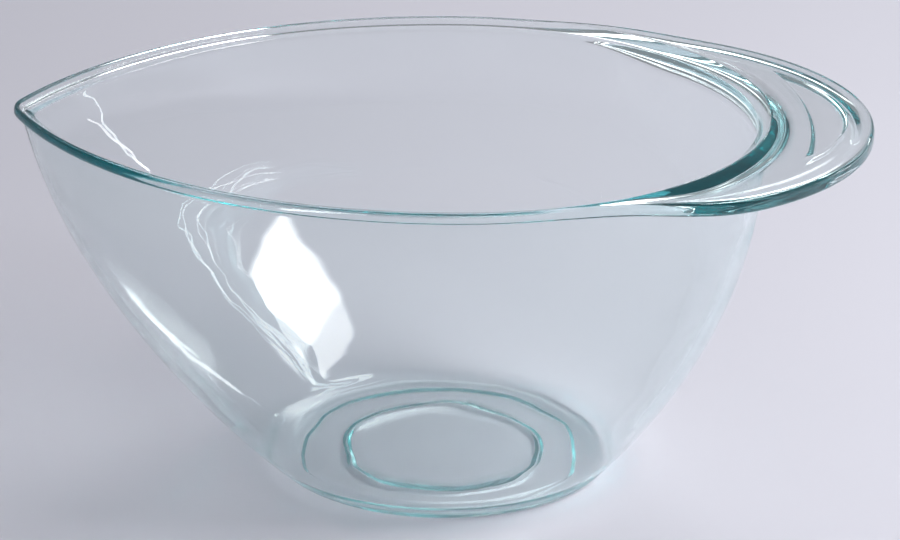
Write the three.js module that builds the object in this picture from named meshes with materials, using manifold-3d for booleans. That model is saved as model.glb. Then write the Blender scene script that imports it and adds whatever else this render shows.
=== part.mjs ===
// A pressed glass mixing bowl with a pouring spout at one end and a flat tab handle at the other.
// Millimetres, +Z up. The origin is on the table, at the middle of the foot.
// The spout points along -X and the handle along +X.
// The glass is divided at the lines where its form changes: foot, wall, spout, rim and handle.
import * as THREE from 'three';
import { mergeVertices } from 'three/addons/utils/BufferGeometryUtils.js';
import Module from 'manifold-3d';

// Overall form
const HEIGHT = 131.5; // table to the top of the rim
const RIM_RADIUS = 113; // outer edge of the rim on its round side
const RIM_SHIFT = 3; // the round side's centre stands this far toward the handle
const SPOUT_REACH = 150; // foot's middle to the tip of the spout
const SPOUT_TIP_RADIUS = 14; // rounding of the tip, seen from above
const SPOUT_SPREAD = 68; // degrees between the long axis and each side where it leaves the tip
const SPOUT_PULL = 47; // how far a side keeps the direction in which it leaves the tip
const SIDE_PULL = 86; // how far a side keeps the direction in which it leaves the round end

// Wall
const WALL = 4; // thickness of the glass
const WALL_FULLNESS = 2.25; // how soon the wall turns upright: 1 is a straight cone
const SPOUT_GROWTH = 0.78; // how the spout's extra reach grows with height: 1 is a straight keel

// Foot
const FLOOR = 3.8; // table to the inside of the floor
const FOOT_RADIUS = 62.5; // where the wall leaves the foot
const HEEL_RADIUS = 2.8; // rounding between the foot and the table
const FOOT_RING_WIDTH = 9.7; // flat ring that stands on the table
const RECESS_SLOPE_WIDTH = 12.5; // slope between that ring and the raised middle
const RECESS_RISE = 0.8; // height of the raised middle

// Rim
const RIM_BAND = 11; // height of the rim's band, from its top
const RIM_OVERHANG = 2.8; // how far the rim's edge stands out from the wall
const RIM_EDGE_RADIUS = 2.2; // half-round outer edge
const RIM_INNER_RADIUS = 1.8; // rounding of the inner edge

// Handle
const HANDLE_WIDTH = 34; // how far the handle stands out from the rim's round side
const HANDLE_REACH = RIM_SHIFT + RIM_RADIUS + HANDLE_WIDTH; // foot's middle to the end of the handle
const HANDLE_ARC_RADIUS = 104; // outer edge, seen from above
const HANDLE_THICKNESS = 6; // its outer edge is a half-round of this thickness
const HANDLE_ROOT = 0.5; // flat left beside its edge at the two ends, where it runs out into the rim
const GRIP_LENGTH = 97.5; // lens-shaped thumb recess in the top
const GRIP_WIDTH = 14;
const GRIP_BOW = 6; // how far the recess's inner edge bows toward the handle's end
const GRIP_BORDER = 9; // recess's outer edge to the handle's end
const GRIP_DEPTH = 1.2;

// Steps of the faceted surfaces
const ROUND_STEPS = 36;
const SIDE_STEPS = 14;
const TIP_STEPS = 6;
const SPOUT_SIDE_STEPS = 8; // of each side's steps, those that belong to the spout
const WALL_STEPS = 8;
const EDGE_STEPS = 3; // in a quarter turn of an edge
const GRIP_STEPS = 16;

const wallBase = HEEL_RADIUS;
const wallTop = HEIGHT - 2 * RIM_EDGE_RADIUS; // underside of the rim's edge
const bandBottom = HEIGHT - RIM_BAND;
const handleTop = HEIGHT - RIM_EDGE_RADIUS; // level with the middle of the rim's edge
const handleBottom = handleTop - HANDLE_THICKNESS;
const handleCentre = HANDLE_REACH - HANDLE_ARC_RADIUS;

const glass = new THREE.MeshStandardMaterial({ color: 0xd6eceb, roughness: 0.04, metalness: 0 });

// The rim's outer edge, seen from above, counter-clockwise from the middle of the -Y side.
function rimOutline() {
  const spread = THREE.MathUtils.degToRad(SPOUT_SPREAD);
  const tipCentre = SPOUT_TIP_RADIUS - SPOUT_REACH;
  const round = new THREE.EllipseCurve(
    RIM_SHIFT, 0, RIM_RADIUS, RIM_RADIUS, -Math.PI / 2, Math.PI / 2);
  const sideEnd = new THREE.Vector2(-Math.sin(spread), Math.cos(spread))
    .multiplyScalar(SPOUT_TIP_RADIUS).add(new THREE.Vector2(tipCentre, 0));
  const sideEndPull = new THREE.Vector2(Math.cos(spread), Math.sin(spread))
    .multiplyScalar(SPOUT_PULL).add(sideEnd);
  const side = new THREE.CubicBezierCurve(
    new THREE.Vector2(RIM_SHIFT, RIM_RADIUS),
    new THREE.Vector2(RIM_SHIFT - SIDE_PULL, RIM_RADIUS),
    sideEndPull,
    sideEnd);
  const tip = new THREE.EllipseCurve(
    tipCentre, 0, SPOUT_TIP_RADIUS, SPOUT_TIP_RADIUS,
    Math.PI / 2 + spread, 3 * Math.PI / 2 - spread);
  const farSide = side.getPoints(SIDE_STEPS);
  const nearSide = farSide.map((p) => new THREE.Vector2(p.x, -p.y)).reverse();
  return [
    ...round.getPoints(ROUND_STEPS),
    ...farSide.slice(1),
    ...tip.getPoints(TIP_STEPS).slice(1),
    ...nearSide.slice(1, -1),
  ];
}

// One station per point of the outline: the outward normal there, the top of the wall's outer face,
// and the direction and reach of that face from the bowl's axis.
function stations() {
  const outline = rimOutline();
  const count = outline.length;
  return outline.map((point, i) => {
    const along = outline[(i + 1) % count].clone().sub(outline[(i + count - 1) % count]);
    const normal = new THREE.Vector2(along.y, -along.x).normalize();
    const face = point.clone().addScaledVector(normal, -RIM_OVERHANG);
    return { point, normal, face, ray: face.clone().normalize(), reach: face.length() };
  });
}

const faceRadius = RIM_RADIUS - RIM_OVERHANG;

function heightShare(z) {
  return THREE.MathUtils.clamp((z - wallBase) / (wallTop - wallBase), 0, 1);
}

// The wall's outer face: a round bowl, plus the spout's extra reach.
function outerRadius(station, z) {
  const s = heightShare(z);
  const round = (faceRadius - FOOT_RADIUS) * (1 - (1 - s) ** WALL_FULLNESS);
  return FOOT_RADIUS + round + (station.reach - faceRadius) * s ** SPOUT_GROWTH;
}

// The inner face stands one wall thickness inside, measured square to the round bowl's slope.
function innerRadius(station, z) {
  const s = heightShare(z);
  const slope = (faceRadius - FOOT_RADIUS) * WALL_FULLNESS * (1 - s) ** (WALL_FULLNESS - 1)
    / (wallTop - wallBase);
  return outerRadius(station, z) - WALL * Math.hypot(1, slope);
}

function onRay(station, radius, z) {
  return new THREE.Vector3(station.ray.x * radius, station.ray.y * radius, z);
}

// A point set off from the wall's outer face along the outline's normal.
function offFace(station, out, z) {
  const plan = station.face.clone().addScaledVector(station.normal, out);
  return new THREE.Vector3(plan.x, plan.y, z);
}

function range(count) {
  return Array.from({ length: count + 1 }, (_, i) => i / count);
}

// Sweeps a loop of points through the sections. A closed sweep joins its last section to its first,
// and an open one ends in two flat caps. Loops run up their outer side and down their inner one. Each
// facet is split from its lower corner to the upper one ahead, so two pieces that meet there fit.
function sweep(sections, closed) {
  const size = sections[0].length;
  const vertices = sections.flat();
  const index = [];
  const spans = closed ? sections.length : sections.length - 1;
  for (let i = 0; i < spans; i++) {
    const a = i * size;
    const b = ((i + 1) % sections.length) * size;
    for (let j = 0; j < size; j++) {
      const k = (j + 1) % size;
      if (vertices[a + j].z <= vertices[a + k].z) {
        index.push(a + j, b + j, b + k, a + j, b + k, a + k);
      } else {
        index.push(a + j, b + j, a + k, b + j, b + k, a + k);
      }
    }
  }
  if (!closed) {
    const last = sections.length - 1;
    for (const [section, offset, flip] of [[0, 0, false], [last, last * size, true]]) {
      for (const [p, q, r] of capTriangles(sections[section])) {
        index.push(offset + p, offset + (flip ? r : q), offset + (flip ? q : r));
      }
    }
  }
  const geometry = new THREE.BufferGeometry().setFromPoints(vertices);
  geometry.setIndex(index);
  return withoutSlivers(mergeVertices(geometry, 1e-4));
}

// Triangles that fill a flat upright section, laid out along its widest reach seen from above.
function capTriangles(section) {
  const origin = section[0];
  const reach = section.reduce((best, p) => {
    const flat = new THREE.Vector2(p.x - origin.x, p.y - origin.y);
    return flat.length() > best.length() ? flat : best;
  }, new THREE.Vector2());
  const along = reach.normalize();
  const flat = section.map((p) => new THREE.Vector2(
    (p.x - origin.x) * along.x + (p.y - origin.y) * along.y, p.z - origin.z));
  const triangles = THREE.ShapeUtils.triangulateShape(flat, []);
  const turnsLeft = THREE.ShapeUtils.area(flat) > 0;
  return triangles.map(([p, q, r]) => {
    const a = flat[q].clone().sub(flat[p]).cross(flat[r].clone().sub(flat[p])) > 0;
    return a === turnsLeft ? [p, q, r] : [p, r, q];
  });
}

// Drops triangles that the merging left with two corners in one place, as on the bowl's axis.
function withoutSlivers(geometry) {
  const from = geometry.getIndex().array;
  const index = [];
  for (let i = 0; i < from.length; i += 3) {
    const [a, b, c] = [from[i], from[i + 1], from[i + 2]];
    if (a !== b && b !== c && c !== a) {
      index.push(a, b, c);
    }
  }
  geometry.setIndex(index);
  return geometry;
}

const ring = stations();

// Foot: a thick disc that stands on a flat ring, with its middle raised off the table.
function footSection(station) {
  const ringOuter = FOOT_RADIUS - HEEL_RADIUS;
  const ringInner = ringOuter - FOOT_RING_WIDTH;
  const heel = range(EDGE_STEPS).map((t) => {
    const turn = t * Math.PI / 2;
    const radius = ringOuter + HEEL_RADIUS * Math.sin(turn);
    return onRay(station, radius, HEEL_RADIUS * (1 - Math.cos(turn)));
  });
  return [
    new THREE.Vector3(0, 0, RECESS_RISE),
    onRay(station, ringInner - RECESS_SLOPE_WIDTH, RECESS_RISE),
    onRay(station, ringInner, 0),
    ...heel,
    onRay(station, outerRadius(station, (HEEL_RADIUS + FLOOR) / 2), (HEEL_RADIUS + FLOOR) / 2),
    onRay(station, outerRadius(station, FLOOR), FLOOR),
    onRay(station, innerRadius(station, FLOOR), FLOOR),
    new THREE.Vector3(0, 0, FLOOR),
  ];
}

// Wall and spout: from the floor's level up to the rim's band, closer steps where it curves most.
function wallSection(station) {
  const heights = range(WALL_STEPS).map((t) => FLOOR + (bandBottom - FLOOR) * t ** 1.4);
  return [
    ...heights.map((z) => onRay(station, outerRadius(station, z), z)),
    ...heights.map((z) => onRay(station, innerRadius(station, z), z)).reverse(),
  ];
}

// The lower quarter of the rim's half-round edge, from the wall out to its widest line.
function rimLowerEdge(station) {
  const centre = RIM_OVERHANG - RIM_EDGE_RADIUS;
  return range(EDGE_STEPS).map((t) => {
    const turn = t * Math.PI / 2;
    const out = centre + RIM_EDGE_RADIUS * Math.sin(turn);
    return offFace(station, out, handleTop - RIM_EDGE_RADIUS * Math.cos(turn));
  });
}

// The wall's outer face within the rim's band, up to where the handle's underside and the edge begin.
function rimFace(station) {
  return [handleBottom, wallTop].map((z) => onRay(station, outerRadius(station, z), z));
}

function rimSection(station) {
  const centre = RIM_OVERHANG - RIM_EDGE_RADIUS;
  const upperEdge = range(EDGE_STEPS).slice(1).map((t) => {
    const turn = t * Math.PI / 2;
    const out = centre + RIM_EDGE_RADIUS * Math.cos(turn);
    return offFace(station, out, handleTop + RIM_EDGE_RADIUS * Math.sin(turn));
  });
  const inside = innerRadius(station, wallTop);
  const innerEdge = range(EDGE_STEPS).map((t) => {
    const turn = t * Math.PI / 2;
    const radius = inside + RIM_INNER_RADIUS * (1 - Math.sin(turn));
    return onRay(station, radius, HEIGHT - RIM_INNER_RADIUS * (1 - Math.cos(turn)));
  });
  return [
    onRay(station, outerRadius(station, bandBottom), bandBottom),
    ...rimFace(station),
    ...rimLowerEdge(station),
    ...upperEdge,
    ...innerEdge,
    onRay(station, innerRadius(station, bandBottom), bandBottom),
  ];
}

// How far the handle's outer edge stands from the rim's, along the outline's normal. That edge is an
// arc, joined to the rim's round side by the straight lines that touch both, and nothing beyond them.
function handleWidth({ point, normal }) {
  const lean = (RIM_RADIUS - HANDLE_ARC_RADIUS) / (handleCentre - RIM_SHIFT);
  if (point.x < RIM_SHIFT + RIM_RADIUS * lean) {
    return 0;
  }
  const touch = new THREE.Vector2(lean, Math.sign(point.y) * Math.sqrt(1 - lean ** 2));
  const arcFrom = handleCentre + HANDLE_ARC_RADIUS * lean;
  const toLine = (RIM_RADIUS - (point.x - RIM_SHIFT) * touch.x - point.y * touch.y)
    / normal.dot(touch);
  const fromCentre = point.clone().sub(new THREE.Vector2(handleCentre, 0));
  const along = fromCentre.dot(normal);
  const toArc = Math.sqrt(along ** 2 - fromCentre.lengthSq() + HANDLE_ARC_RADIUS ** 2) - along;
  return point.x + normal.x * toLine < arcFrom ? toLine : toArc;
}

// The edge is a half-round, flattened toward the handle's ends where it has less width to stand on.
function handleSection(station) {
  const width = handleWidth(station);
  const rise = HANDLE_THICKNESS / 2;
  const bulge = Math.min(rise, width - HANDLE_ROOT);
  const flat = RIM_OVERHANG + width - bulge;
  const outerEdge = range(2 * EDGE_STEPS).map((t) => {
    const turn = t * Math.PI;
    return offFace(
      station, flat + bulge * Math.sin(turn), handleBottom + rise * (1 - Math.cos(turn)));
  });
  return [...outerEdge, ...rimLowerEdge(station).reverse(), ...rimFace(station).reverse()];
}

// The lens-shaped recess, from above its bottom to clear above the handle.
function gripTool() {
  const outerX = HANDLE_REACH - GRIP_BORDER;
  const innerX = outerX - GRIP_WIDTH;
  const cornerX = innerX - GRIP_BOW;
  const half = GRIP_LENGTH / 2;
  const lens = new THREE.Shape();
  for (const [edgeX, back] of [[outerX, false], [innerX, true]]) {
    const bow = edgeX - cornerX;
    const radius = (half ** 2 + bow ** 2) / (2 * bow);
    const sweepAngle = Math.asin(half / radius);
    const from = back ? sweepAngle : -sweepAngle;
    lens.absarc(edgeX - radius, 0, radius, from, -from, back);
  }
  const tool = new THREE.ExtrudeGeometry(
    lens, { depth: 2 * GRIP_DEPTH, bevelEnabled: false, curveSegments: GRIP_STEPS });
  return tool.translate(0, 0, handleTop - GRIP_DEPTH);
}

const wasm = await Module();
wasm.setup();

function toSolid(geometry) {
  const bare = geometry.clone();
  bare.deleteAttribute('normal');
  bare.deleteAttribute('uv');
  const merged = mergeVertices(bare, 1e-4);
  return new wasm.Manifold(new wasm.Mesh({
    numProp: 3,
    vertProperties: new Float32Array(merged.getAttribute('position').array),
    triVerts: new Uint32Array(merged.getIndex().array),
  }));
}

function toGeometry(solid) {
  const mesh = solid.getMesh();
  const geometry = new THREE.BufferGeometry();
  geometry.setAttribute('position', new THREE.BufferAttribute(mesh.vertProperties, 3));
  geometry.setIndex(new THREE.BufferAttribute(mesh.triVerts, 1));
  return geometry;
}

function piece(name, geometry) {
  geometry.computeVertexNormals();
  const mesh = new THREE.Mesh(geometry, glass.clone());
  mesh.name = name;
  return mesh;
}

const spoutStart = ROUND_STEPS + SIDE_STEPS - SPOUT_SIDE_STEPS;
const spoutEnd = ROUND_STEPS + SIDE_STEPS + TIP_STEPS + SPOUT_SIDE_STEPS;
const spoutStations = ring.slice(spoutStart, spoutEnd + 1);
const wallStations = [...ring.slice(spoutEnd), ...ring.slice(0, spoutStart + 1)];
const handleStations = ring.slice(0, ROUND_STEPS + 1)
  .filter((station) => handleWidth(station) >= 2 * HANDLE_ROOT);

const bowl = new THREE.Group();
bowl.name = 'glass_mixing_bowl';
bowl.add(piece('foot', sweep(ring.map(footSection), true)));
bowl.add(piece('wall', sweep(wallStations.map(wallSection), false)));
bowl.add(piece('spout', sweep(spoutStations.map(wallSection), false)));
bowl.add(piece('rim', sweep(ring.map(rimSection), true)));
const handlePlate = toSolid(sweep(handleStations.map(handleSection), false));
bowl.add(piece('handle', toGeometry(handlePlate.subtract(toSolid(gripTool())))));

export default bowl;
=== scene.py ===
"""A pressed glass mixing bowl with a pouring spout and a tab handle, on a pale studio floor."""
import math
from types import SimpleNamespace

import bpy
from bpy.props import FloatProperty, FloatVectorProperty, PointerProperty
from mathutils import Matrix, Quaternion, Vector


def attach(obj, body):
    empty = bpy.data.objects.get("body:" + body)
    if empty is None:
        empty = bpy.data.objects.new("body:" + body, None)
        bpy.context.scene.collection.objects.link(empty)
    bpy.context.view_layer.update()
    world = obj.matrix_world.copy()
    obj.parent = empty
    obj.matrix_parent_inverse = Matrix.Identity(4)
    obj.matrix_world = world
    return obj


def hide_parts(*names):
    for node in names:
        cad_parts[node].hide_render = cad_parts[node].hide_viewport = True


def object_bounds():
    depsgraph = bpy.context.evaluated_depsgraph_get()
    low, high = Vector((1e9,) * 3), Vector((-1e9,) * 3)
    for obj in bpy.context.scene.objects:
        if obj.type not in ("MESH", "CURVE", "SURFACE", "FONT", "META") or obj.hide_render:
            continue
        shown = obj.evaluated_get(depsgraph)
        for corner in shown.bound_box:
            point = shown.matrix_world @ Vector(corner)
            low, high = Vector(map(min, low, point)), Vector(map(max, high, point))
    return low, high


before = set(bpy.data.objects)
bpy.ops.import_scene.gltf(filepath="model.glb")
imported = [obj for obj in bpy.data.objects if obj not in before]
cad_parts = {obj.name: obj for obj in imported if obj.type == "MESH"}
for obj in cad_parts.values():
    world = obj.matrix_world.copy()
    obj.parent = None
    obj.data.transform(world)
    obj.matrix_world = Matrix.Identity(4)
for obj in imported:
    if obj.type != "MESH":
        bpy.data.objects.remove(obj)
cad_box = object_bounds()

bl_info = {
    "name": "Glass Mixing Bowl",
    "version": (1, 0, 0),
    "blender": (4, 5, 0),
    "location": "View3D > Sidebar > Bowl",
    "description": "Builds a glass mixing bowl with a spout and a tab handle, and a stage for it",
    "category": "Add Mesh",
}


def length(name, description, default):
    """A size that a user may change, in metres."""
    return FloatProperty(
        name=name, description=description, default=default, min=0.0, precision=5,
        subtype="DISTANCE", unit="LENGTH")


def share(name, description, default, top=1.0):
    """A plain number that a user may change."""
    return FloatProperty(
        name=name, description=description, default=default, min=0.0, max=top, precision=4)


def tint(name, description, default):
    """A colour that a user may change."""
    return FloatVectorProperty(
        name=name, description=description, default=default, min=0.0, max=1.0, subtype="COLOR")


class BowlSizes(bpy.types.PropertyGroup):
    """Sizes of the pressed glass"""
    height: length("Height", "Table to the top of the rim", cad_box[1][2])
    rim_radius: length("Rim Radius", "Outer edge of the rim on its round side", cad_box[1][1])
    rim_shift: length(
        "Rim Shift", "The round side's centre stands this far toward the handle", 0.003)
    spout_reach: length("Spout Reach", "Foot's middle to the tip of the spout", -cad_box[0][0])
    spout_tip: length("Spout Tip Radius", "Rounding of the spout's tip, seen from above", 0.014)
    spout_spread: FloatProperty(
        name="Spout Spread", description="Angle between the long axis and each side at the tip",
        default=math.radians(68), subtype="ANGLE", unit="ROTATION")
    spout_pull: length("Spout Pull", "How far a side keeps the direction of the tip", 0.047)
    side_pull: length("Side Pull", "How far a side keeps the direction of the round end", 0.086)
    wall: length("Wall", "Thickness of the glass", 0.004)
    fullness: share(
        "Wall Fullness", "How soon the wall turns upright; 1 is a straight cone", 2.25, top=9)
    spout_growth: share(
        "Spout Growth", "How the spout grows with height; 1 is a straight keel", 0.78, top=9)
    floor: length("Floor", "Table to the inside of the floor", 0.0038)
    floor_round: length(
        "Floor Rounding", "Half the width of the rounding between floor and wall", 0.004)
    foot_radius: length("Foot Radius", "Where the wall leaves the heel", 0.0625)
    foot_wall: length("Foot Wall", "Thickness of the wall at the floor", 0.003)
    foot_taper: length("Foot Taper", "Height over which the wall comes to that thickness", 0.035)
    heel: length("Heel Height", "Height of the rounding between the foot and the wall", 0.0028)
    ring_radius: length(
        "Ring Radius", "Inner edge of the flat ring that stands on the table", 0.05)
    ring_rise: length("Ring Rise", "Step up from that ring toward the middle", 0.0009)
    step_width: length("Step Width", "Width of that step", 0.0016)
    middle_radius: length("Middle Radius", "Edge of the raised middle under the floor", 0.0365)
    middle_rise: length("Middle Rise", "Height of the raised middle", 0.0008)
    groove_width: length("Groove Width", "Width of the groove round the raised middle", 0.0034)
    groove_depth: length("Groove Depth", "Depth of that groove", 0.0009)
    step_wander: length(
        "Step Wander", "How far the groove and the step stray from a true circle", 0.001)
    rim_overhang: length("Rim Overhang", "How far the rim stands out from the wall", 0.0028)
    rim_edge: length("Rim Edge Radius", "Half-round outer edge of the rim", 0.0022)
    rim_crest: length("Rim Crest", "Width of the rounding on top of the rim", 0.001)
    rim_drop: length("Rim Drop", "Height of the slope inside the rim", 0.0031)
    spout_drop: length("Spout Drop", "How much higher that slope is in the spout", 0.001)
    rim_slope: share(
        "Rim Slope", "Shape of that slope; 1 is round, 2 is straight", 1.92, top=2)
    rim_wall: length("Rim Wall", "Thickness of the wall where that slope ends", 0.0045)
    handle_wall: length("Handle Wall", "That thickness beside the handle", 0.0036)
    rim_taper: length("Rim Taper", "Height over which the wall comes to that thickness", 0.02)
    handle_width: length("Handle Width", "How far the handle stands out from the rim", 0.034)
    handle_arc: length("Handle Arc Radius", "Outer edge of the handle, seen from above", 0.104)
    handle_thickness: length(
        "Handle Thickness", "Thickness of the handle's half-round edge", 0.006)
    handle_web: length(
        "Handle Web", "Thickness of the handle between the rim and that edge", 0.005)
    handle_bead: length("Handle Bead", "Width over which the web thickens to the edge", 0.006)
    handle_round: share("Handle Edge Shape", "Shape of that edge; 1 is round, 0 is square", 0.6)
    handle_root: length(
        "Handle Root", "Rounding where the handle's underside meets the wall", 0.005)
    handle_slope: length(
        "Handle Slope", "Width of the slope from the rim down to the handle", 0.009)
    handle_start: length(
        "Handle Start", "Width at which the rim's edge starts to become the handle's", 0.002)
    handle_full: length("Handle Full", "Width at which the handle has its own level", 0.02)
    grip_length: length("Grip Length", "Length of the thumb recess", 0.0975)
    grip_width: length("Grip Width", "Width of the thumb recess", 0.014)
    grip_bow: length("Grip Bow", "How far the recess's inner edge bows outward", 0.006)
    grip_border: length("Grip Border", "Recess's outer edge to the handle's end", 0.009)
    grip_depth: length("Grip Depth", "Depth of the thumb recess", 0.0012)
    grip_edge: length("Grip Edge", "Width of the recess's sloping edge", 0.0016)
    wave_length: length("Wave Length", "Spacing of the waves in the pressed surface", 0.042)
    wave_height: length("Wave Height", "Height of the waves in the pressed surface", 0.0001)


class GlassLook(bpy.types.PropertyGroup):
    """Finish of the glass"""
    depth_tint: tint(
        "Depth Tint", "What is left of white light deep in the glass", (0.08, 0.75, 0.77))
    depth: share("Depth", "How strongly the glass takes that tint, per metre", 12.5, top=500)
    bending: share("Index of Refraction", "How strongly the glass bends light", 1.5, top=3)
    haze: share("Haze", "Roughness of the fire-polished surface", 0.012)


class StageLook(bpy.types.PropertyGroup):
    """Floor and light"""
    paper: tint("Paper", "Colour of the floor", (0.70, 0.695, 0.763))
    room: tint("Room", "Colour of the light from all round", (0.75, 0.76, 0.82))
    room_strength: share(
        "Room Strength", "Strength of the light from all round", 0.365, top=10)
    window_power: share(
        "Window Power", "Strength of the window on the right, in watts", 13.3, top=1000)
    sky_power: share(
        "Sky Power", "Strength of the light from the back, in watts", 11.5, top=1000)
    strip_power: share(
        "Strip Power", "Strength of the narrow lights, in watts", 0.8, top=1000)


class Wire:
    """An output socket in a node tree. Python's operators on it add Math nodes to that tree."""

    def __init__(self, socket):
        self.socket = socket

    @classmethod
    def node(cls, tree, kind, settings=None, inputs=None, output=0):
        """Adds any node: its settings come first, then each socket's value or link."""
        made = tree.nodes.new(kind)
        for key, value in (settings or {}).items():
            setattr(made, key, value)
        for key, value in (inputs or {}).items():
            cls.feed(tree, made.inputs[key], value)
        return cls(made.outputs[output])

    @classmethod
    def feed(cls, tree, socket, value):
        """Gives a socket a value, a link or, if it takes several, a list of links."""
        if isinstance(value, (list, tuple)) and any(isinstance(v, cls) for v in value):
            for part in reversed(value):
                tree.links.new(part.socket, socket)
        elif isinstance(value, cls):
            tree.links.new(value.socket, socket)
        else:
            socket.default_value = value

    def other(self, output):
        """Another output of the same node."""
        return Wire(self.socket.node.outputs[output])

    def math(self, operation, *values):
        """A Math node on this value and any others."""
        inputs = dict(enumerate((self, *values)))
        return Wire.node(self.socket.id_data, "ShaderNodeMath", {"operation": operation}, inputs)

    def __add__(self, value):
        return self.math("ADD", value)

    def __radd__(self, value):
        return self.math("ADD", value)

    def __sub__(self, value):
        return self.math("SUBTRACT", value)

    def __rsub__(self, value):
        return self.math("MULTIPLY_ADD", -1.0, value)

    def __mul__(self, value):
        return self.math("MULTIPLY", value)

    def __rmul__(self, value):
        return self.math("MULTIPLY", value)

    def __truediv__(self, value):
        return self.math("DIVIDE", value)

    def __rtruediv__(self, value):
        return self.math("POWER", -1.0) * value

    def __pow__(self, value):
        return self.math("POWER", value)

    def __rpow__(self, value):
        return (self * math.log(value)).math("EXPONENT")

    def __neg__(self):
        return self.math("MULTIPLY", -1.0)

    def __lt__(self, value):
        return self.math("LESS_THAN", value)

    def __gt__(self, value):
        return self.math("GREATER_THAN", value)

    def __abs__(self):
        return self.math("ABSOLUTE")

    def least(self, value):
        return self.math("MINIMUM", value)

    def most(self, value):
        return self.math("MAXIMUM", value)

    def root(self):
        return self.math("SQRT")

    def sin(self):
        return self.math("SINE")

    def cos(self):
        return self.math("COSINE")

    def toward(self, end, part):
        """This value, moved toward another by a part of the way."""
        return self + (end - self) * part

    def ramp(self, start, end, kind="LINEAR"):
        """0 at or before the start, 1 at or after the end."""
        return Wire.node(
            self.socket.id_data, "ShaderNodeMapRange", {"interpolation_type": kind},
            {"Value": self, "From Min": start, "From Max": end})

    def smooth(self, start=0.0, end=1.0):
        """A ramp that starts and ends level."""
        return self.ramp(start, end, "SMOOTHSTEP")

    def swing(self):
        """0 to 1 as half a wave, for steps that lie closer together at both ends."""
        return 0.5 - (self * math.pi).cos() * 0.5


def xyz(tree, x=0.0, y=0.0, z=0.0):
    """A vector from its three parts."""
    return Wire.node(tree, "ShaderNodeCombineXYZ", None, {"X": x, "Y": y, "Z": z})


def split(tree, vector):
    """The three parts of a vector."""
    x = Wire.node(tree, "ShaderNodeSeparateXYZ", None, {"Vector": vector}, "X")
    return x, x.other("Y"), x.other("Z")


def unit(tree, x, y):
    """A plan direction of length 1, and the length that it had."""
    size = (x * x + y * y).root()
    return x / size, y / size, size


def vector_math(tree, operation, *values, **named):
    """A Vector Math node."""
    inputs = {**dict(enumerate(values)), **named}
    return Wire.node(tree, "ShaderNodeVectorMath", {"operation": operation}, inputs)


NOISE_MIDDLE = 0.5


def noise(tree, place, scale, detail=0.0, **named):
    """Smooth noise about its middle."""
    return Wire.node(tree, "ShaderNodeTexNoise", None, {
        "Vector": place, "Scale": scale, "Detail": detail, **named})


def cleared(owner):
    """The emptied node tree of a material or a light."""
    owner.use_nodes = True
    owner.node_tree.nodes.clear()
    return owner.node_tree


def finish_tree(tree, kind, **ends):
    """Adds a tree's output node and links its sockets."""
    made = tree.nodes.new(kind)
    for name, wire in ends.items():
        tree.links.new(wire.socket, made.inputs[name])


STATIONS = 420  # steps once round the rim
ARC_POINTS, SIDE_POINTS = 360, 240  # on each of the curves that make up the rim's plan

# Steps of the bowl's section, from the middle of the underside out, up and over the rim, and back
# along the inside to the middle of the floor.
SECTION = (
    ("middle", 4), ("groove", 14), ("well", 3), ("step", 8), ("ring", 3), ("heel", 8),
    ("outside", 50), ("flange", 20), ("edge", 18), ("border", 5), ("grip", 22), ("land", 5),
    ("lip", 12), ("top", 2), ("shoulder", 9), ("inside", 40), ("floor", 8),
)

BEGUN, DONE = 0.01, 0.99  # how much of a zone is behind a step that is in it, or past it
WALL_EASE = 0.11  # draws the steps up and down the wall closer together at both ends
KEEL_LEAD = 0.03  # share of the wall's height that keeps the spout's slope finite at the heel
SPOUT_SPAN = (0.006, 0.022)  # reach past the round wall over which the rim's slope grows higher
LEAST_GRIP = 0.0015  # half width kept for the recess's steps where a section misses it
LEAST_ROOT = 0.0005  # rounding under the rim where there is no handle
LEAST_FACING = 0.05  # keeps a line that runs along the handle's side from going on for ever
BEAD_SHARE = 0.6  # most of the handle's width that its thicker edge takes up
WAVES_FADE, WAVES_GROW = (0.75, 0.95), (0.05, 0.3)  # up the outside, and down the inside

WANDER_SCALE = 1.6  # of the noise in the groove and the step, once round
WANDER_GAIN = 4.0  # that noise strays about a quarter from its middle
WAVE_GAIN = 2.0  # the noise in the wall strays at most a half
INSIDE_SHIFT = 3.0  # sets the waves of the inside apart from those of the outside
TABLE = (-1.0, -1.0, 0.0)  # the least place of any point: none goes below the table
WELD = 1e-5  # points closer than this become one


def rim_curves(tree, s):
    """The rim's outer edge, counter-clockwise from the middle of the -Y side, as four curves."""
    tip_x = s.spout_tip - s.spout_reach
    tip_sin, tip_cos = s.spout_spread.sin(), s.spout_spread.cos()
    end_x, end_y = tip_x - tip_sin * s.spout_tip, tip_cos * s.spout_tip
    pull_x, pull_y = end_x + tip_cos * s.spout_pull, end_y + tip_sin * s.spout_pull

    def arc(radius, start, sweep, x):
        curve = Wire.node(tree, "GeometryNodeCurveArc", {"mode": "RADIUS"}, {
            "Resolution": ARC_POINTS, "Radius": radius, "Start Angle": start,
            "Sweep Angle": sweep})
        return Wire.node(tree, "GeometryNodeTransform", None, {
            "Geometry": curve, "Translation": xyz(tree, x)})

    def side(sign):
        points = [
            xyz(tree, s.rim_shift, s.rim_radius * sign),
            xyz(tree, s.rim_shift - s.side_pull, s.rim_radius * sign),
            xyz(tree, pull_x, pull_y * sign),
            xyz(tree, end_x, end_y * sign)]
        if sign < 0:
            points.reverse()
        names = ("Start", "Start Handle", "End Handle", "End")
        return Wire.node(
            tree, "GeometryNodeCurvePrimitiveBezierSegment", {"mode": "POSITION"},
            {"Resolution": SIDE_POINTS, **dict(zip(names, points))})

    half = math.pi / 2
    return (
        arc(s.rim_radius, -half, math.pi, s.rim_shift),
        side(1.0),
        arc(s.spout_tip, s.spout_spread + half, math.pi - s.spout_spread * 2.0, tip_x),
        side(-1.0))


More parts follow.
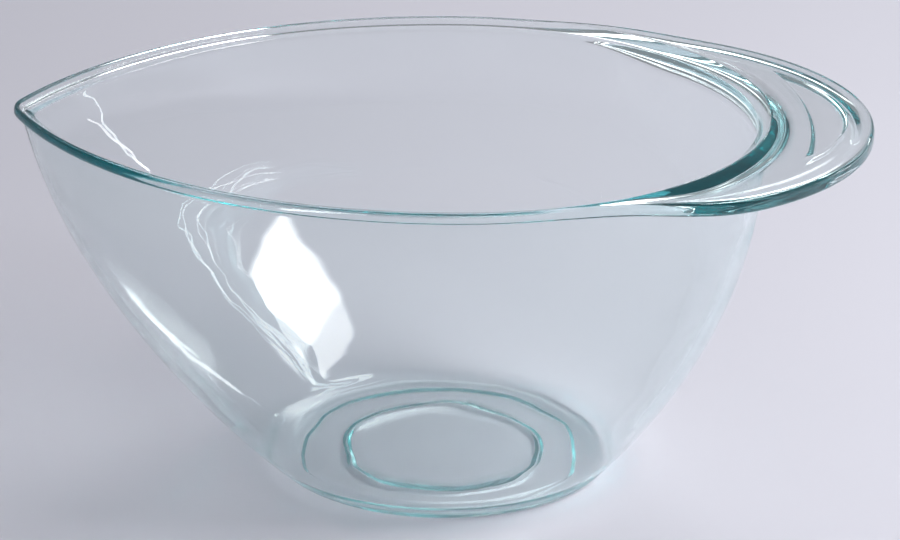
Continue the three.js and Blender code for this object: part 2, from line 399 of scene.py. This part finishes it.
def to_arc(x, y, nx, ny, centre, radius):
    """How far it is from a plan point, along a direction, to a circle on the long axis."""
    from_x = x - centre
    along = from_x * nx + y * ny
    inner = along * along - from_x * from_x - y * y + radius * radius
    return inner.most(0.0).root() - along


def handle_reach(s, x, y, nx, ny):
    """How far the handle's outer edge stands from the rim's: an arc, and lines that touch both."""
    centre = s.rim_shift + s.rim_radius + s.handle_width - s.handle_arc
    lean = (s.rim_radius - s.handle_arc) / (centre - s.rim_shift)
    cross = (1.0 - lean * lean).root()
    to_line = (s.rim_radius - (x - s.rim_shift) * lean - abs(y) * cross) / (
        nx * lean + abs(ny) * cross).most(LEAST_FACING)
    on_arc = x + nx * to_line > centre + s.handle_arc * lean
    width = to_line.toward(to_arc(x, y, nx, ny, centre, s.handle_arc), on_arc)
    return width.most(0.0) * (x > s.rim_shift + s.rim_radius * lean)


def grip_span(s, x, y, nx, ny):
    """Where a line across the handle meets the outer and inner edges of the thumb recess."""
    outer_x = s.rim_shift + s.rim_radius + s.handle_width - s.grip_border
    inner_x = outer_x - s.grip_width
    spans = []
    for edge in (outer_x, inner_x):
        bow = edge - inner_x + s.grip_bow
        radius = (s.grip_length * s.grip_length * 0.25 + bow * bow) / (bow * 2.0)
        spans.append(to_arc(x, y, nx, ny, edge - radius, radius))
    return spans


def section_parts(j):
    """How much of each zone of the section is behind a step, from 0 to 1."""
    parts, at = {}, 0
    for name, steps in SECTION:
        parts[name] = j.ramp(float(at), float(at + steps))
        at += steps
    return parts


def bowl_section(s, j, rim):
    """A point of the section: its radius along the ray, its way out along the normal, its height,
    how fully it takes part in the waves, and how far it has come down the inside."""
    part = section_parts(j)

    # Wall: the round bowl, and what the spout adds to it
    face_radius = s.rim_radius - s.rim_overhang
    belly = face_radius - s.foot_radius
    drawn = rim.reach - face_radius
    climb = s.height - s.rim_edge * 2.0 - s.heel
    spare = KEEL_LEAD ** s.spout_growth
    grown = (1.0 + KEEL_LEAD) ** s.spout_growth - spare

    # Rim: its edge becomes the handle's where the handle stands out
    blend = rim.width.smooth(s.handle_start, s.handle_full)
    edge = s.rim_edge.toward(s.handle_thickness * 0.5, blend)
    under = (s.height - s.rim_edge) - s.handle_thickness * 0.5 * blend - edge
    drop = s.rim_drop + s.spout_drop * drawn.smooth(*SPOUT_SPAN)
    rim_wall = s.rim_wall.toward(s.handle_wall, blend)
    crest = s.rim_crest.toward(s.rim_edge, blend)
    step_in = s.rim_overhang - crest

    def rise(z):
        return (z - s.heel).ramp(0.0, climb)

    def outside(z):
        t = rise(z)
        spout = ((t + KEEL_LEAD) ** s.spout_growth - spare) / grown
        return s.foot_radius + belly * (1.0 - (1.0 - t) ** s.fullness) + drawn * spout

    def inside(z):
        slope = belly * s.fullness * (1.0 - rise(z)) ** (s.fullness - 1.0) / climb
        near_rim = z.smooth(s.height - s.rim_taper, s.height - drop)
        near_foot = z.smooth(s.foot_taper, s.floor)
        thick = s.wall.toward(rim_wall, near_rim).toward(s.foot_wall, near_foot)
        return outside(z) - thick * (slope * slope + 1.0).root()

    # Top of the handle, from its edge in over the thumb recess to the rim
    lip = step_in + s.handle_slope * blend
    flange = s.rim_overhang + rim.width - edge
    ledge = flange + (edge - crest) * (1.0 - blend)
    true_outer, true_inner = (span + s.rim_overhang for span in rim.grip)
    middle = (true_outer + true_inner) * 0.5
    half = ((true_outer - true_inner) * 0.5).most(LEAST_GRIP)
    outer = (middle + half).least(ledge).most(lip)
    inner = (middle - half).least(ledge).most(lip)

    # Edge of the rim or the handle: half-round, or squarer
    bulge = part["edge"] * math.pi
    squareness = 1.0 - (1.0 - s.handle_round) * blend
    bulge_out = bulge.sin().most(0.0) ** squareness
    bulge_up = bulge.cos().math("SIGN") * abs(bulge.cos()) ** squareness

    # Heel: an arc from the flat ring into the wall's own slope
    spout_slope = drawn * s.spout_growth * KEEL_LEAD ** (s.spout_growth - 1.0) / grown
    wall_slope = ((belly * s.fullness + spout_slope) / climb).math("ARCTAN2", 1.0)
    heel_end = math.pi / 2 - wall_slope
    heel_radius = s.heel / (1.0 - heel_end.cos())
    heel_turn = heel_end * part["heel"]

    # Heights of the wall's steps, and the underside of the rim or the handle
    up, down = (
        part[name] - (part[name] * (math.pi * 2)).sin() * WALL_EASE
        for name in ("outside", "inside"))
    hollow = (s.handle_thickness - s.handle_web) * blend
    wall_z = s.heel.toward(under + hollow, up)
    in_z = (s.height - drop).toward(s.floor, down)
    flange_out = flange * part["flange"].swing()
    root = (s.handle_root * blend + LEAST_ROOT).least(flange)
    to_root = (root - (under + hollow - wall_z) - flange_out).most(0.0)
    in_root = to_root * to_root / (root * 4.0)
    in_bead = flange_out.smooth(flange - s.handle_bead.least(flange * BEAD_SHARE), flange)

    middle_edge = s.middle_radius - s.groove_width + rim.wander
    ring_edge = s.ring_radius - s.step_width - rim.wander
    out_radius = (
        middle_edge * part["middle"] + s.groove_width * part["groove"] + s.step_width * part["step"]
        + (ring_edge - middle_edge - s.groove_width) * part["well"]
        + (s.foot_radius - heel_radius * heel_end.sin() - ring_edge - s.step_width) * part["ring"]
        + heel_radius * heel_turn.sin() + outside(wall_z) - s.foot_radius)
    turn = part["shoulder"] * (math.pi / 2)
    floor_radius = inside(s.floor)
    radius = (
        out_radius.toward(rim.reach + step_in, part["top"])
        - (rim_wall + step_in) * turn.sin().most(0.0) ** s.rim_slope
        + inside(in_z) - (rim.reach - rim_wall) - floor_radius * part["floor"] ** 2.0)

    out = (
        flange_out + in_root + edge * bulge_out
        + (ledge - flange) * (1.0 - bulge_out) * (part["edge"] > 0.5)
        - (ledge - outer) * part["border"] - (outer - inner) * part["grip"].swing()
        - (inner - lip) * part["land"] - (lip - step_in) * part["lip"] - step_in * part["top"])

    to_edge = (true_outer - out).least(out - true_inner)
    on_grip = (part["border"] > DONE) * (part["land"] < BEGUN)
    dent = to_edge.smooth(0.0, s.grip_edge) * s.grip_depth * on_grip
    corner_slope = climb / (belly * s.fullness)
    fillet = (s.floor_round - abs(radius - floor_radius)).most(0.0)
    height = (
        s.middle_rise.toward(s.ring_rise, part["groove"].smooth())
        + s.groove_depth * (part["groove"] * math.pi).sin() ** 2.0
        - s.ring_rise * part["step"].smooth()
        + heel_radius * (1.0 - heel_turn.cos()) + wall_z - s.heel
        - in_root - hollow * in_bead + edge * (1.0 - bulge_up)
        + s.rim_edge * blend * part["lip"].smooth() - dent
        - drop * (1.0 - turn.cos().most(0.0) ** s.rim_slope) + in_z - (s.height - drop)
        + fillet * fillet * corner_slope / (s.floor_round * 4.0) * (part["inside"] > BEGUN))

    calm = part["outside"].ramp(*WAVES_FADE) * (1.0 - part["inside"].ramp(*WAVES_GROW))
    return radius, out, height, 1.0 - calm, part["inside"]


def bowl_tree(glass):
    """Node tree that sweeps the bowl's section round its rim, with an input for every size."""
    tree = bpy.data.node_groups.new("pressed_bowl", "GeometryNodeTree")
    tree.interface.new_socket("Geometry", in_out="OUTPUT", socket_type="NodeSocketGeometry")
    inputs = {}
    for key, made in BowlSizes.__annotations__.items():
        inputs[key] = tree.interface.new_socket(
            made.keywords["name"], in_out="INPUT", socket_type="NodeSocketFloat")
    given = tree.nodes.new("NodeGroupInput")
    s = SimpleNamespace(**{
        key: Wire(given.outputs[item.name]) for key, item in inputs.items()})

    # A flat grid of side 1 about the origin: one way round the rim, the other along the section
    steps = sum(count for _, count in SECTION)
    grid = Wire.node(tree, "GeometryNodeMeshGrid", None, {
        "Size X": 1.0, "Size Y": 1.0, "Vertices X": STATIONS + 1, "Vertices Y": steps + 1})
    around, along, _ = split(tree, Wire.node(tree, "GeometryNodeInputPosition"))
    station = ((around + 0.5) * float(STATIONS)).math("ROUND").math("MODULO", float(STATIONS))

    # What the section needs to know of its place on the rim
    curves = Wire.node(tree, "GeometryNodeJoinGeometry", None, {"Geometry": rim_curves(tree, s)})
    on_rim = Wire.node(
        tree, "GeometryNodeSampleCurve", {"mode": "FACTOR", "use_all_curves": True},
        {"Curves": curves, "Factor": station / float(STATIONS)}, "Position")
    x, y, _ = split(tree, on_rim)
    tx, ty, _ = split(tree, on_rim.other("Tangent"))
    nx, ny, _ = unit(tree, ty, -tx)
    ray_x, ray_y, reach = unit(tree, x - nx * s.rim_overhang, y - ny * s.rim_overhang)
    stray = noise(tree, xyz(tree, ray_x, ray_y), WANDER_SCALE)
    rim = SimpleNamespace(
        reach=reach, width=handle_reach(s, x, y, nx, ny), grip=grip_span(s, x, y, nx, ny),
        wander=(stray - NOISE_MIDDLE) * s.step_wander * WANDER_GAIN)
    radius, out, height, wavy, within = bowl_section(s, (along + 0.5) * float(steps), rim)
    place = xyz(tree, ray_x * radius + nx * out, ray_y * radius + ny * out, height)

    waves = Wire.node(tree, "ShaderNodeTexNoise", {"noise_dimensions": "4D"}, {
        "Vector": place, "W": within * INSIDE_SHIFT, "Scale": s.wave_length ** -1.0,
        "Detail": 0.0}, "Color")
    sway = vector_math(tree, "SUBTRACT", waves, (NOISE_MIDDLE,) * 3)
    sway = vector_math(tree, "SCALE", sway, Scale=s.wave_height * wavy * WAVE_GAIN)
    place = vector_math(tree, "MAXIMUM", vector_math(tree, "ADD", place, sway), TABLE)

    skin = Wire.node(tree, "GeometryNodeSetPosition", None, {"Geometry": grid, "Position": place})
    for kind, values in (
            ("GeometryNodeMergeByDistance", {"Distance": WELD}),
            ("GeometryNodeSetShadeSmooth", {}),
            ("GeometryNodeRealizeInstances", {}),
            ("GeometryNodeSetMaterial", {"Material": glass})):
        skin = Wire.node(tree, kind, None, {"Geometry": skin, **values})
    finish_tree(tree, "NodeGroupOutput", Geometry=skin)
    return tree, inputs


BREATH_SCALE, BREATH_SPAN = 38.0, (0.35, 0.75)  # where the polish is a little less than perfect
BREATH_DETAIL, BREATH_ROUGHNESS = 3.0, 0.6
RIPPLE_SCALE, RIPPLE_DETAIL = 55.0, 1.0  # waves too fine for the mesh
RIPPLE_STRENGTH, RIPPLE_DEPTH = 0.12, 0.0004


def glass_material(look):
    """Clear pressed glass: its tint comes from the depth of glass that light passes."""
    glass = bpy.data.materials.new("clear_pressed_glass")
    tree = cleared(glass)
    place = Wire.node(tree, "ShaderNodeTexCoord", None, None, "Object")
    breath = noise(tree, place, BREATH_SCALE, BREATH_DETAIL, Roughness=BREATH_ROUGHNESS)
    ripple = noise(tree, place, RIPPLE_SCALE, RIPPLE_DETAIL)
    dimple = Wire.node(tree, "ShaderNodeBump", None, {
        "Strength": RIPPLE_STRENGTH, "Distance": RIPPLE_DEPTH, "Height": ripple})
    surface = Wire.node(tree, "ShaderNodeBsdfPrincipled", None, {
        "Base Color": (1.0, 1.0, 1.0, 1.0), "IOR": look.bending, "Transmission Weight": 1.0,
        "Roughness": breath.ramp(*BREATH_SPAN) * look.haze, "Normal": dimple})
    depth = Wire.node(tree, "ShaderNodeVolumeAbsorption", None, {
        "Color": (*look.depth_tint, 1.0), "Density": look.depth})
    finish_tree(tree, "ShaderNodeOutputMaterial", Surface=surface, Volume=depth)
    return glass


class BOWL_OT_glass(bpy.types.Operator):
    """Press the bowl from one body of glass: foot, wall, spout, rim and handle"""
    bl_idname = "bowl.glass"
    bl_label = "Glass Bowl"

    def execute(self, context):
        sizes = context.scene.bowl_sizes
        tree, inputs = bowl_tree(glass_material(context.scene.bowl_glass))
        form = bpy.data.objects.new("form", bpy.data.meshes.new("form"))
        context.collection.objects.link(form)
        press = form.modifiers.new("press", "NODES")
        press.node_group = tree
        for key, item in inputs.items():
            press[item.identifier] = getattr(sizes, key)
        graph = context.evaluated_depsgraph_get()
        mesh = bpy.data.meshes.new_from_object(form.evaluated_get(graph))
        if not mesh.polygons:
            raise RuntimeError("The bowl's node tree made no faces")
        bowl = bpy.data.objects.new("glass_bowl", mesh)
        context.collection.objects.link(bowl)
        form.modifiers.remove(press)
        bpy.data.objects.remove(form)
        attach(bowl, "root")
        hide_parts("foot", "wall", "spout", "rim", "handle")
        return {"FINISHED"}


GRAIN_SCALE, MOTTLE_SCALE, PAPER_DETAIL = 900.0, 3.0, 2.0
GRAIN_STRENGTH, GRAIN_DEPTH = 0.05, 0.0002
MOTTLE_SHADE = 0.97  # the darkest mottle, against the paper's own colour
PAPER_ROUGHNESS, GRAIN_ROUGHNESS, PAPER_GLOSS = 0.75, 0.1, 0.25
MIX_FACTOR, MIX_FIRST, MIX_SECOND, MIX_RESULT = 0, 6, 7, 2  # a Mix node's sockets for colours


def paper_material(look):
    """Pale matt paper with a fine grain."""
    paper = bpy.data.materials.new("pale_paper")
    tree = cleared(paper)
    place = Wire.node(tree, "ShaderNodeTexCoord", None, None, "Object")
    grain = noise(tree, place, GRAIN_SCALE, PAPER_DETAIL)
    mottle = noise(tree, place, MOTTLE_SCALE, PAPER_DETAIL)
    light, dark = (*look.paper, 1.0), (*(c * MOTTLE_SHADE for c in look.paper), 1.0)
    colour = Wire.node(tree, "ShaderNodeMix", {"data_type": "RGBA"}, {
        MIX_FACTOR: mottle, MIX_FIRST: dark, MIX_SECOND: light}, MIX_RESULT)
    bump = Wire.node(tree, "ShaderNodeBump", None, {
        "Strength": GRAIN_STRENGTH, "Distance": GRAIN_DEPTH, "Height": grain})
    surface = Wire.node(tree, "ShaderNodeBsdfPrincipled", None, {
        "Base Color": colour, "Roughness": PAPER_ROUGHNESS + grain * GRAIN_ROUGHNESS,
        "Specular IOR Level": PAPER_GLOSS, "Normal": bump})
    finish_tree(tree, "ShaderNodeOutputMaterial", Surface=surface)
    return paper


# Each light's place, the point that it faces, its two sides and the part of a side that fades out,
# and for some the turn about the way that they face, or the lean of their edges.
WINDOW = {
    "place": (1.005, -0.11, 0.72), "aim": (-0.065, 0.065, 0.045), "size": (1.04, 0.53),
    "soft": 0.12, "lean": (0.42, 0.15)}
SKY = {"place": (0.5, 1.6, 1.3), "aim": (0.0, 0.3, 0.0), "size": (1.4, 0.8), "soft": 0.3}
LOW_STRIP = {
    "place": (0.865, 0.29, 0.095), "aim": (-0.12, 0.035, 0.11), "size": (0.009, 0.267),
    "soft": 0.1, "turn": math.radians(47.6)}
BACK_STRIP = {
    "place": (0.89, 1.082, 0.388), "aim": (-0.095, 0.007, 0.038), "size": (0.24, 0.05),
    "soft": 0.3, "turn": math.radians(26.0)}
LOW_STRIP_SHARE, BACK_STRIP_SHARE = 0.14, 0.6  # of the narrow lights' strength


def area_light(context, name, power, place, aim, size, soft, turn=0.0, lean=(0.0, 0.0)):
    """A white panel that fades out toward its edges. Its lower and upper edges lean in toward one
    end, each by a part of the panel's height."""
    lamp = bpy.data.lights.new(name, "AREA")
    lamp.shape = "RECTANGLE"
    lamp.size, lamp.size_y = size
    lamp.energy = power / (1.0 - soft) ** 2 / (1.0 - sum(lean) * 0.5)
    tree = cleared(lamp)
    on_panel = Wire.node(tree, "ShaderNodeNewGeometry", None, None, "Parametric")
    across, along, _ = split(tree, on_panel)
    along = (along - across * lean[0]) / (1.0 - across * sum(lean))
    fade = [side.least(1.0 - side).smooth(0.0, soft) for side in (across, along)]
    glow = Wire.node(tree, "ShaderNodeEmission", None, {"Color": fade[0] * fade[1]})
    finish_tree(tree, "ShaderNodeOutputLight", Surface=glow)
    holder = bpy.data.objects.new(name, lamp)
    holder.location = place
    facing = (Vector(aim) - Vector(place)).to_track_quat("-Z", "Y")
    holder.rotation_euler = (facing @ Quaternion((0.0, 0.0, 1.0), turn)).to_euler()
    context.collection.objects.link(holder)
    return holder


CAMERA_AZIMUTH = math.radians(-1.036)
CAMERA_ELEVATION = math.radians(20.604)
CAMERA_ROLL = math.radians(0.568)
CAMERA_DISTANCE = 1.1331
CAMERA_LENS, CAMERA_SENSOR = 127.32, 36.0  # in millimetres
CAMERA_NEAR = 0.01
TARGET_RIGHT, TARGET_HEIGHT = 0.0026, 0.07003  # the point in the middle of the picture


def aim_camera(context):
    """A camera at the photograph's viewing angle."""
    turn, lift = CAMERA_AZIMUTH, CAMERA_ELEVATION
    back = Vector((
        math.sin(turn) * math.cos(lift), -math.cos(turn) * math.cos(lift), math.sin(lift)))
    right = Vector((math.cos(turn), math.sin(turn), 0.0))
    up = back.cross(right)
    rolled_right = right * math.cos(CAMERA_ROLL) + up * math.sin(CAMERA_ROLL)
    rolled_up = up * math.cos(CAMERA_ROLL) - right * math.sin(CAMERA_ROLL)
    target = right * TARGET_RIGHT + Vector((0.0, 0.0, TARGET_HEIGHT))
    camera = bpy.data.objects.new("camera", bpy.data.cameras.new("camera"))
    camera.data.lens = CAMERA_LENS
    camera.data.sensor_width = CAMERA_SENSOR
    camera.data.clip_start = CAMERA_NEAR
    turned = Matrix((rolled_right, rolled_up, back)).transposed().to_4x4()
    camera.matrix_world = Matrix.Translation(target + back * CAMERA_DISTANCE) @ turned
    context.collection.objects.link(camera)
    context.scene.camera = camera


FLOOR_HALF = 2.5
AIR_FILM = 0.0001  # glass rests on its high spots, so a film of air is left under it
LIGHT_BOUNCES = 256  # light passes many faces of the glass


class BOWL_OT_stage(bpy.types.Operator):
    """Set up the pale floor, the soft light and the camera"""
    bl_idname = "bowl.stage"
    bl_label = "Stage"

    def execute(self, context):
        look = context.scene.bowl_stage
        mesh = bpy.data.meshes.new("floor")
        corners = ((-1, -1), (1, -1), (1, 1), (-1, 1))
        mesh.from_pydata(
            [(x * FLOOR_HALF, y * FLOOR_HALF, -AIR_FILM) for x, y in corners], [], [(0, 1, 2, 3)])
        mesh.materials.append(paper_material(look))
        floor = bpy.data.objects.new("floor", mesh)
        context.collection.objects.link(floor)

        world = bpy.data.worlds.new("room")
        world.use_nodes = True
        room = world.node_tree.nodes["Background"].inputs
        room["Color"].default_value = (*look.room, 1.0)
        room["Strength"].default_value = look.room_strength
        context.scene.world = world
        area_light(context, "window", look.window_power, **WINDOW)
        sky = area_light(context, "sky", look.sky_power, **SKY)
        sky.visible_glossy = False
        area_light(context, "low strip", look.strip_power * LOW_STRIP_SHARE, **LOW_STRIP)
        area_light(context, "back strip", look.strip_power * BACK_STRIP_SHARE, **BACK_STRIP)
        aim_camera(context)
        context.scene.view_settings.view_transform = "Standard"
        for path in ("max_bounces", "glossy_bounces", "transmission_bounces"):
            setattr(context.scene.cycles, path, LIGHT_BOUNCES)
        context.scene.cycles.blur_glossy = 0.0
        return {"FINISHED"}


class BOWL_PT_panel(bpy.types.Panel):
    """Lists what this file builds"""
    bl_idname = "BOWL_PT_panel"
    bl_label = "Glass Mixing Bowl"
    bl_space_type = "VIEW_3D"
    bl_region_type = "UI"
    bl_category = "Bowl"

    def draw(self, context):
        for group in ("bowl_sizes", "bowl_glass", "bowl_stage"):
            settings = getattr(context.scene, group)
            column = self.layout.column()
            for key in settings.__class__.__annotations__:
                column.prop(settings, key)
        self.layout.operator(BOWL_OT_glass.bl_idname)
        self.layout.operator(BOWL_OT_stage.bl_idname)


CLASSES = (BowlSizes, GlassLook, StageLook, BOWL_OT_glass, BOWL_OT_stage, BOWL_PT_panel)


def register():
    for made in CLASSES:
        bpy.utils.register_class(made)
    bpy.types.Scene.bowl_sizes = PointerProperty(type=BowlSizes)
    bpy.types.Scene.bowl_glass = PointerProperty(type=GlassLook)
    bpy.types.Scene.bowl_stage = PointerProperty(type=StageLook)


def unregister():
    del bpy.types.Scene.bowl_stage
    del bpy.types.Scene.bowl_glass
    del bpy.types.Scene.bowl_sizes
    for made in reversed(CLASSES):
        bpy.utils.unregister_class(made)


def main():
    """Builds the stage and the bowl."""
    register()
    bpy.ops.bowl.stage()
    bpy.ops.bowl.glass()


if __name__ == "__main__":
    main()
